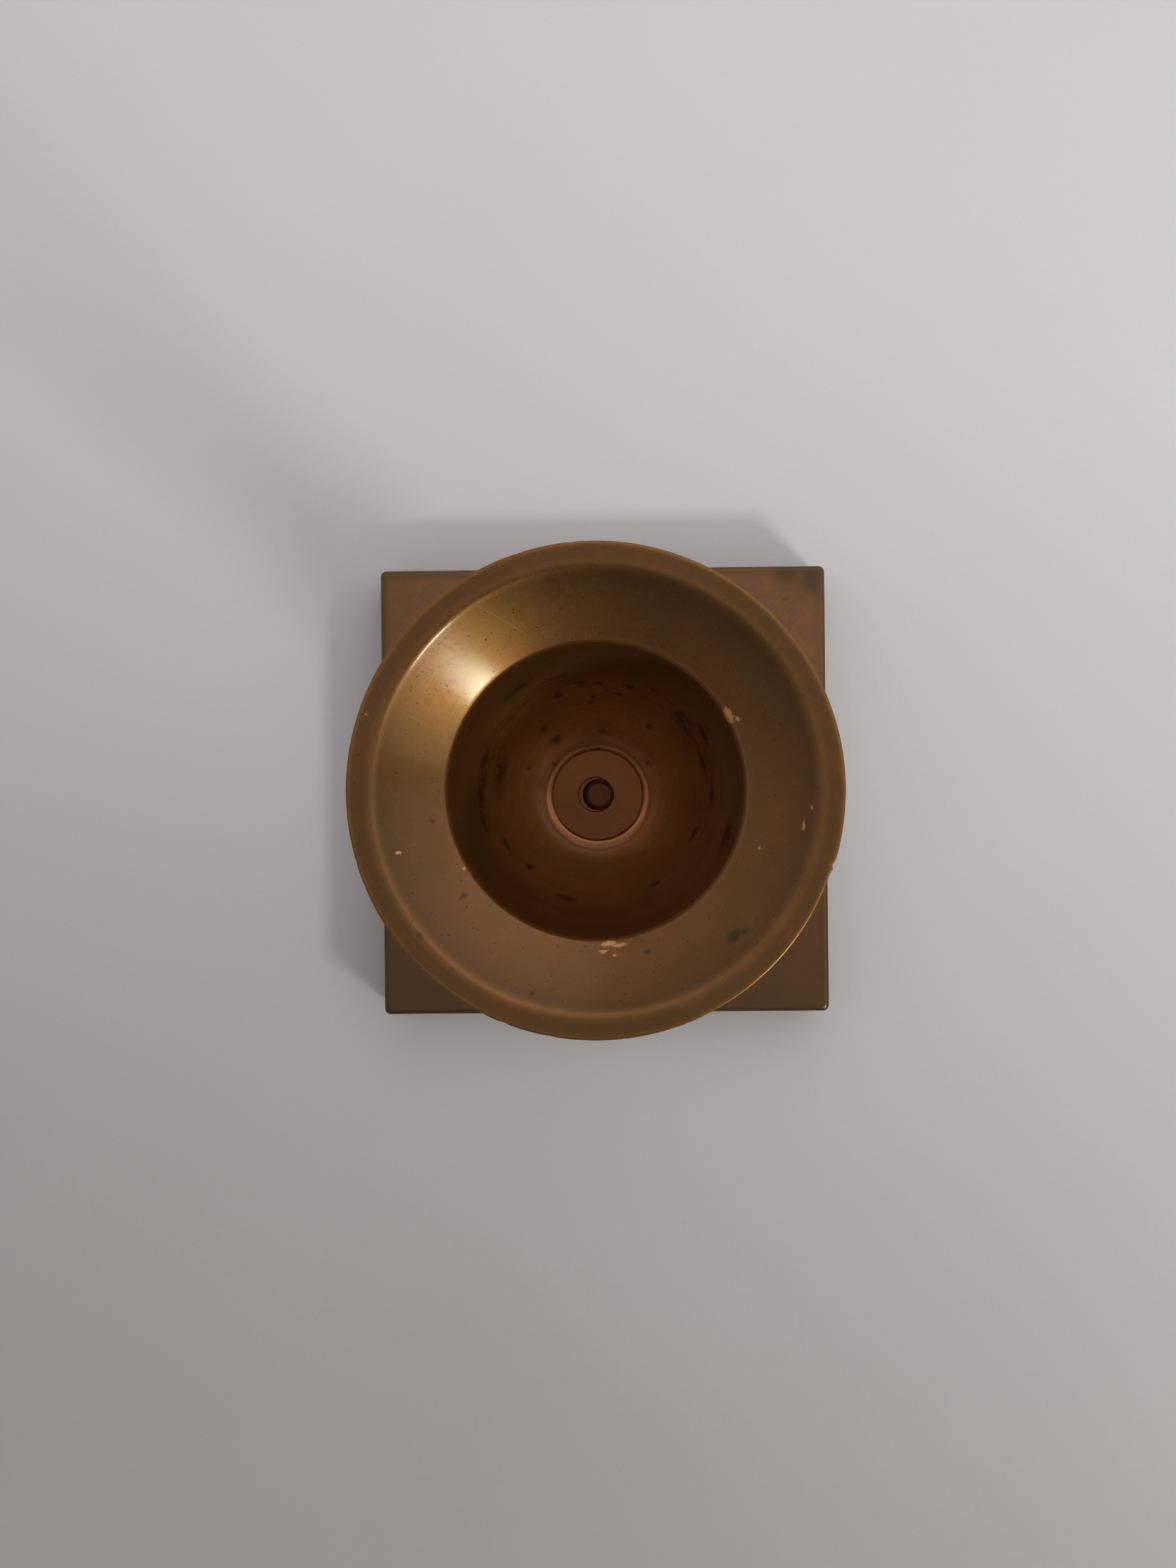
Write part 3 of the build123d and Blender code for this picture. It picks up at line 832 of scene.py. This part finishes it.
def rod_hole_slip(points, floor):
    """How far rings near the rod's hole lie towards -X, because it was drilled off centre."""
    radii = np.hypot(*points[:, :2].T)
    on_floor = ramp(radii, WELL_FLOOR_RADIUS, ROD_MOUTH_RADIUS)
    in_mouth = ramp(radii, ROD_RADIUS, ROD_MOUTH_RADIUS)
    share = np.minimum(on_floor, in_mouth)
    near = (points[:, 2] > floor - ROD_MOUTH_DEPTH - 0.01) & (points[:, 2] < floor + 0.01)
    return np.where(near, ROD_MOUTH_OFFSET * share, 0)


def well_slip(height, centre, floor, bore):
    """How far the bottom of the well lies towards -Y, because the cup was bored a little askew."""
    down = ramp(height, centre, floor)
    back = ramp(height, bore + 0.2, floor - 0.6)
    return WELL_SLIP * np.minimum(down, back)


cup_levels = make_cup()

# ---- stem ---------------------------------------------------------------------------------
BELL_RINGS = 320


def end_above(drawn, radius, height, spigot):
    """The upper end of a piece: the seat for the next one, the spigot on it, and the bore."""
    drawn.line((radius, height), (spigot, height), (spigot, height + SPIGOT_LENGTH))
    drawn.line((ROD_BORE, height + SPIGOT_LENGTH))
    return drawn


def end_below(drawn, height, hole):
    """The recess in the lower end of a piece, which takes the spigot below."""
    drawn.line((ROD_BORE, height + RECESS_DEPTH), (hole, height + RECESS_DEPTH))
    return drawn


def upper_knop_outline():
    low, seat = underside("upper_knop"), underside("candle_cup")
    end, ball = 3.9, half_width("upper_knop")
    drawn = Outline((COLUMN_HOLE, low), 0.4).line((end, low), (end, low + 1))
    drawn.arc((end, seat - 1), end - ball).line((end, seat))
    return end_below(end_above(drawn, end, seat, COLUMN_SPIGOT), low, COLUMN_HOLE)


def column_outline():
    low, seat = underside("stem_column"), underside("upper_collar")
    knop = underside("upper_knop")
    lower_bead, upper_bead, foot, neck = half_width("stem_column"), 5.0, 4.5, 3.5
    bead, cove = 2.0, 1.2
    drawn = Outline((KNOP_HOLE, low), 0.3).line((lower_bead - bead / 2, low))
    drawn.arc((lower_bead - bead / 2, low + bead), -bead / 2)
    drawn.arc((foot, low + bead + cove), 0.18)
    drawn.finer(0.8).line((neck, seat - bead - cove))
    drawn.finer(0.3).arc((upper_bead - bead / 2, seat - bead), 0.18)
    drawn.arc((upper_bead - bead / 2, seat), -bead / 2)
    drawn.line((COLUMN_SPIGOT, seat), (COLUMN_SPIGOT, knop + SPIGOT_LENGTH))
    drawn.line((ROD_BORE, knop + SPIGOT_LENGTH))
    return end_below(drawn, low, KNOP_HOLE)


def lower_knop_outline():
    low, seat = underside("lower_knop"), underside("stem_column")
    foot, widest, neck = 5.6, half_width("lower_knop"), 4.4
    middle, shoulder = (widest, low + 4.6), (neck + 0.5, seat - 2.4)
    drawn = Outline((LOWER_HOLE, low), 0.3).line((foot, low))
    drawn.arc(middle, -arc_rise(middle, (foot, low), (0, -1)))
    drawn.arc(shoulder, arc_rise(middle, shoulder, (0, 1)))
    drawn.arc((neck, seat - 1), 0.2).line((neck, seat))
    return end_below(end_above(drawn, neck, seat, KNOP_SPIGOT), low, LOWER_HOLE)


def collar_outline(node, hole):
    low, high, radius = underside(node), top(node), half_width(node)
    half = (high - low) / 2
    drawn = Outline((hole, low), 0.25).line((radius - half, low))
    return drawn.arc((radius - half, high), -half).line((hole, high))


def bell_outline():
    low, seat = underside("foot_bell"), underside("lower_collar")
    knop = underside("lower_knop")
    radius, step, bead, shoulder, neck = 23.0, 1.6, 1.8, 2.6, 6.6
    hollow, boss, relief = 17.0, 6.0, 0.8
    bead_top = low + step + bead
    drawn = Outline((hollow, low), 0.4).line((radius, low), (radius, low + step))
    drawn.arc((radius - 1.4, bead_top), -0.75).line((radius - shoulder, bead_top))
    drawn.arc((neck, seat - 1.2), 4.3).line((neck, seat), (LOWER_SPIGOT, seat))
    drawn.finer(1.0).line((LOWER_SPIGOT, knop + SPIGOT_LENGTH), (ROD_BORE, knop + SPIGOT_LENGTH))
    drawn.line((ROD_BORE, low), (boss, low), (boss, low + relief))
    return drawn.line((hollow, low + relief))


stem_outlines = {
    "upper_knop": upper_knop_outline(),
    "upper_collar": collar_outline("upper_collar", COLUMN_HOLE),
    "stem_column": column_outline(),
    "lower_knop": lower_knop_outline(),
    "lower_collar": collar_outline("lower_collar", LOWER_HOLE),
}
for seed, (node, outline) in enumerate(stem_outlines.items(), 4):
    turned(node, outline.rows(EDGE_WEAR), brass_stem, seed)
turned("foot_bell", bell_outline().rows(EDGE_WEAR), brass_stem, 9, BELL_RINGS, 0.04)

# ---- foot plate and felt ------------------------------------------------------------------
CORNER_SPAN = 4.0  # degrees either side of a diagonal where rings have more points


def square_angles():
    """Angles for square rings, closer together where the corners are rounded."""
    angles = list(np.linspace(0, 2 * math.pi, 360, endpoint=False))
    for quarter in range(4):
        diagonal = math.radians(45 + 90 * quarter)
        near = np.linspace(-1, 1, 33) * math.radians(CORNER_SPAN)
        angles += list(diagonal + near + 1e-4)
    return np.array(sorted(angles))


def square_distance(angles, half, corner):
    """How far a rounded square's side is from the middle at each angle."""
    corner = min(corner, half)
    x, y = np.abs(np.cos(angles)), np.abs(np.sin(angles))
    x, y = np.maximum(x, y), np.minimum(x, y)
    inner = half - corner
    along = inner * (x + y)
    round_part = along + np.sqrt(np.maximum(along**2 - 2 * inner**2 + corner**2, 0))
    straight = half / x
    return np.where(straight * y <= inner, straight, round_part)


def squared(node, rings, material, waver, seed, open_ends=False, marks=None):
    """A piece made of rounded square rings: half a side, corner radius and height of each."""
    angles = square_angles()
    distance = np.stack([square_distance(angles, half, corner) for half, corner, _ in rings])
    height = np.array([ring[2] for ring in rings])
    points = ring_points(distance, height, angles)
    uneven = unevenness(points, 4.0, seed)
    shrink = 1 - waver * (1 - uneven) / 2 / np.hypot(*points[:, :2].T)
    points[:, :2] *= shrink[:, None]
    faces = ring_faces(len(rings), len(angles), open_ends)
    painted = marks(points) if marks else None
    return add_object(node + "_look", points, faces, node, material, painted)


FOOT_CORNER = 0.8
FOOT_EDGE = 0.7
NUT_RECESS_RADIUS = 6.0
NUT_RECESS_DEPTH = 4.0
FULLY_ROUND = 99  # a corner radius larger than half the side leaves no straight side
FELT_CORNER = 1.5
FELT_BULGE = 0.15
# the band along the edges is painted shade
EDGE_SHADE_WIDTH = 1.6  # width of the darker band along the plate's edges
# x, y and size of the stains on the foot
FOOT_STAINS = (
    (28.4, 28.2, 3.0),
    (25.2, 28.9, 2.2),
    (26.6, 26.0, 0.55),
    (24.6, 25.4, 0.45),
    (29.2, -25.4, 0.8),
    (28.0, -27.5, 0.6),
)


def make_foot_plate():
    """The foot plate, with its recess for the nut, its rounded edges, its stains and its painted
    shade.
    """
    low, high, half = underside("foot_plate"), top("foot_plate"), half_width("foot_plate")
    web = low + NUT_RECESS_DEPTH
    rings = [(NUT_RECESS_RADIUS, FULLY_ROUND, low)]
    rings += [(r, r * 0.4, low) for r in (12.0, 20.0)]
    rings += [(half - 0.3, FOOT_CORNER, low), (half - 0.08, FOOT_CORNER, low + 0.06)]
    rings += [(half, FOOT_CORNER, z) for z in np.linspace(low + 0.3, high - FOOT_EDGE, 14)]
    for turn in np.radians(np.linspace(0, 90, 10))[1:]:
        inset = FOOT_EDGE * (1 - math.cos(turn))
        height = high - FOOT_EDGE * (1 - math.sin(turn))
        rings.append((half - inset, FOOT_CORNER - inset * 0.5, height))
    for r in np.linspace(half - 0.9, 8.0, 30):
        rings.append((r, FOOT_CORNER if r > 20 else r * 0.6, high))
    rings += [(ROD_BORE, FULLY_ROUND, z) for z in (high, web)]
    rings.append((NUT_RECESS_RADIUS, FULLY_ROUND, web))

    def marks(points):
        x, y = points[:, 0], points[:, 1]
        outer = np.maximum(np.abs(x), np.abs(y))
        at_side = hump(outer, half, 0.5)
        at_top = hump(points[:, 2], high - 0.25, 0.5)
        stain = np.zeros(len(points))
        for stain_x, stain_y, size in FOOT_STAINS:
            gap = np.hypot(x - stain_x, y - stain_y)
            stain = np.maximum(stain, 1 - gap / size / 2)
        # painted shade: a darker band along each edge, strongest on the +Y and -X sides
        sides = ((half + x, 0.7), (half - y, 0.75), (half - x, 0.6), (half + y, 0.5))
        edge_shades = [np.clip(1.3 - gap / EDGE_SHADE_WIDTH, 0, 1) * share for gap, share in sides]
        # painted shade: darker towards -Y and a little towards -X
        tarnish = np.clip(0.45 - y / 60 - x / 250, 0, 1)
        return {
            "wear": at_side * at_top * 0.7,
            "stain": stain,
            "border": np.max(edge_shades, axis=0),
            "tarnish": tarnish,
        }

    squared("foot_plate", rings, brass_foot, 0.05, 11, marks=marks)


make_foot_plate()


def make_felt():
    """The felt, whose cut edge bulges a little under the weight."""
    low, high, half = underside("felt_pad"), top("felt_pad"), half_width("felt_pad")
    edge = half - FELT_BULGE
    rings = [(r, FELT_CORNER, low) for r in (2.0, 15.0, edge - 0.6)]
    for share in np.linspace(0, 1, 7):
        bulge = FELT_BULGE * math.sin(math.pi * share)
        rings.append((edge - 0.05 + bulge, FELT_CORNER, low + (high - low) * share))
    rings += [(r, FELT_CORNER, high) for r in (edge - 0.6, 15.0, 2.0)]
    squared("felt_pad", rings, green_felt, 0.25, 12, open_ends=True)


make_felt()

# ---- tie rod ------------------------------------------------------------------------------
PITCH = 0.45
THREAD_DEPTH = 0.2
ROD_CHAMFER = 0.3
THREADED = 7.0  # length of thread at each end
ROD_RINGS = 48
ROD_SLIP = 0.15  # the rod's end stands this far off towards +X in its hole


def make_rod():
    """The rod, with a real thread at each end and a chamfered tip."""
    low, high = underside("tie_rod"), top("tie_rod")
    step = PITCH / 8
    lower = np.arange(low, low + THREADED, step)
    upper = np.arange(high - THREADED, high - 0.001, step)
    middle = np.linspace(low + THREADED + 0.5, high - THREADED - 0.5, 40)
    heights = np.concatenate([lower, middle, upper, [high]])
    angles = np.linspace(0, 2 * math.pi, ROD_RINGS, endpoint=False)
    turn = heights[:, None] / PITCH - angles[None] / (2 * math.pi)
    groove = 1 - np.abs(2 * (turn % 1) - 1)
    cut = np.clip(groove * 1.3 - 0.15, 0, 1)  # a little flat at crests and roots
    is_thread = (heights < low + THREADED) | (heights > high - THREADED)
    distance = ROD_RADIUS - THREAD_DEPTH * cut * is_thread[:, None]
    from_end = np.minimum(heights - low, high - heights)
    limit = ROD_RADIUS - ROD_CHAMFER + np.clip(from_end, 0, ROD_CHAMFER)
    distance = np.minimum(distance, limit[:, None])
    start, end = 0.5 * distance[:1], 0.5 * distance[-1:]
    distance = np.concatenate([start, distance, end])
    heights = np.concatenate([[low], heights, [high]])
    points = ring_points(distance, heights, angles)
    at_tip = (points[:, 2] > high - 0.6) & (np.hypot(*points[:, :2].T) > ROD_RADIUS - ROD_CHAMFER)
    lean = ramp(points[:, 2], cup_levels["bore"], cup_levels["bore"] + 4)
    points[:, 0] += ROD_SLIP * lean
    points[:, 1] -= WELL_SLIP * lean
    faces = ring_faces(len(heights), ROD_RINGS, open_ends=True)
    # the tip's chamfer is darkened: dirt and painted shade round the rod's end
    painted = {"grime_and_shade": at_tip}
    add_object("tie_rod_look", points, faces, "tie_rod", browned_steel, painted)


make_rod()
for node in ("flat_washer", "spring_washer", "base_nut"):
    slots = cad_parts[node].material_slots
    slots[0].material = steel

# ---- floor, light and camera --------------------------------------------------------------
FLOOR_SIZE = 6.0
# the table runs from painted shade near -Y to its lit colour further off
TABLE_SHADED = (0.40, 0.355, 0.385, 1)
TABLE_LIT = (0.87, 0.865, 0.985, 1)
# each light's angle round the axis and lean from overhead, distance, sides, radiance and colour
CEILING = ((80, 18), 0.8, (1.2, 1.2), 0.12, (1.0, 0.96, 0.88))
WINDOW = ((45, 52), 0.9, (1.7, 1.1), 0.42, (0.98, 0.96, 0.92))
LAMP = ((-43, 64), 0.6, (0.15, 0.06), 60.0, (0.90, 1.0, 0.84))
GLOW = ((-31, 62), 0.6, (0.45, 0.25), 0.95, (1.0, 0.89, 0.70))
ROOM_DARK = (0.22, 0.207, 0.184, 1)
ROOM_LIGHT = (0.56, 0.533, 0.478, 1)
ROOM_LEAN = (-0.2, 0.8, 0.0)  # towards the light side of the room
ROOM_FADE = 0.75


def make_floor():
    """The table top, painted darker towards -Y as shade."""
    mesh = bpy.data.meshes.new("table_top")
    half = FLOOR_SIZE / 2
    corners = [(-half, -half, 0), (half, -half, 0), (half, half, 0), (-half, half, 0)]
    mesh.from_pydata(corners, [], [(0, 1, 2, 3)])
    g = Graph("white_table")
    cloud = g.noise(14.0, 4.0)
    fine = g.noise(1500.0, 3.0)
    across = g.add("ShaderNodeSeparateXYZ", {0: g.place}).outputs
    far = g.total((across[1], 1.0), (across[0], 0.32))
    tone = g.total((g.step(far, -0.13, 0.125), 0.9), (cloud, 0.12), (fine, 0.06))
    g.feed(g.shader.inputs["Base Color"], g.blend(tone, TABLE_SHADED, TABLE_LIT))
    g.shader.inputs["Roughness"].default_value = 0.55
    g.bump(fine, 0.00002)
    mesh.materials.append(g.material)
    floor = bpy.data.objects.new("table_top", mesh)
    bpy.context.scene.collection.objects.link(floor)


def make_light(name, angles, away, sides, glow, colour):
    """A soft oval panel that faces the cup."""
    data = bpy.data.lights.new(name, "AREA")
    data.shape = "ELLIPSE"
    data.size, data.size_y = sides
    data.color = colour
    area = math.pi * sides[0] * sides[1] / 4
    data.energy = glow * math.pi * area
    light = bpy.data.objects.new(name, data)
    light.visible_camera = False
    target = Vector((0, 0, cad_high.z))
    turn, lean = (math.radians(angle) for angle in angles)
    flat = Vector((math.cos(turn), math.sin(turn), 0))
    out = flat * math.sin(lean) + Vector((0, 0, math.cos(lean)))
    across = Vector((0, 0, 1)).cross(flat)
    up = out.cross(across)
    light.location = target + out * away
    light.rotation_mode = "QUATERNION"
    columns = [(across[i], up[i], out[i]) for i in range(3)]
    light.rotation_quaternion = Matrix(columns).to_quaternion()
    bpy.context.scene.collection.objects.link(light)


def make_world():
    """Plain soft light from all round, less of it from -Y, where someone stands."""
    world = bpy.data.worlds.new("room")
    world.use_nodes = True
    nodes, links = world.node_tree.nodes, world.node_tree.links
    towards = nodes.new("ShaderNodeTexCoord").outputs["Generated"]
    lean = nodes.new("ShaderNodeVectorMath")
    lean.operation = "DOT_PRODUCT"
    lean.inputs[1].default_value = ROOM_LEAN
    fade = nodes.new("ShaderNodeMapRange")
    fade.interpolation_type = "SMOOTHSTEP"
    fade.inputs["From Min"].default_value = -ROOM_FADE
    fade.inputs["From Max"].default_value = ROOM_FADE
    mix = nodes.new("ShaderNodeMix")
    mix.data_type = "RGBA"
    colours = [s for s in mix.inputs if s.type == "RGBA"]
    colours[0].default_value, colours[1].default_value = ROOM_DARK, ROOM_LIGHT
    mixed = next(s for s in mix.outputs if s.type == "RGBA")
    links.new(towards, lean.inputs[0])
    links.new(lean.outputs["Value"], fade.inputs["Value"])
    links.new(fade.outputs[0], mix.inputs[0])
    links.new(mixed, nodes["Background"].inputs["Color"])
    bpy.context.scene.world = world


CAMERA_ABOVE_RIM = 0.1297
CAMERA_SIDE = (0.00156, 0.0)  # where it stands over the rim
AIM_SIDE = (-0.00054, 0.00050)  # the point of the rim's plane in the middle of the picture
CAMERA_LENS = 39.3
CAMERA_ROLL = 0.6  # degrees


def make_camera():
    """The camera, almost straight above the rim."""
    data = bpy.data.cameras.new("camera")
    data.lens = CAMERA_LENS
    data.sensor_width = 36.0
    camera = bpy.data.objects.new("camera", data)
    place = Vector((*CAMERA_SIDE, cad_high.z + CAMERA_ABOVE_RIM))
    aim = Vector((*AIM_SIDE, cad_high.z))
    back = (place - aim).normalized()
    roll = math.radians(CAMERA_ROLL)
    upward = Vector((math.sin(roll), math.cos(roll), 0))
    right = upward.cross(back).normalized()
    upward = back.cross(right)
    camera.location = place
    camera.rotation_mode = "QUATERNION"
    columns = [(right[i], upward[i], back[i]) for i in range(3)]
    camera.rotation_quaternion = Matrix(columns).to_quaternion()
    data.clip_start, data.clip_end = 0.01, 20.0
    bpy.context.scene.collection.objects.link(camera)
    bpy.context.scene.camera = camera


make_floor()
make_world()
make_light("ceiling", *CEILING)
make_light("window", *WINDOW)
make_light("lamp", *LAMP)
make_light("glow", *GLOW)
make_camera()
bpy.context.scene.view_settings.view_transform = "Standard"
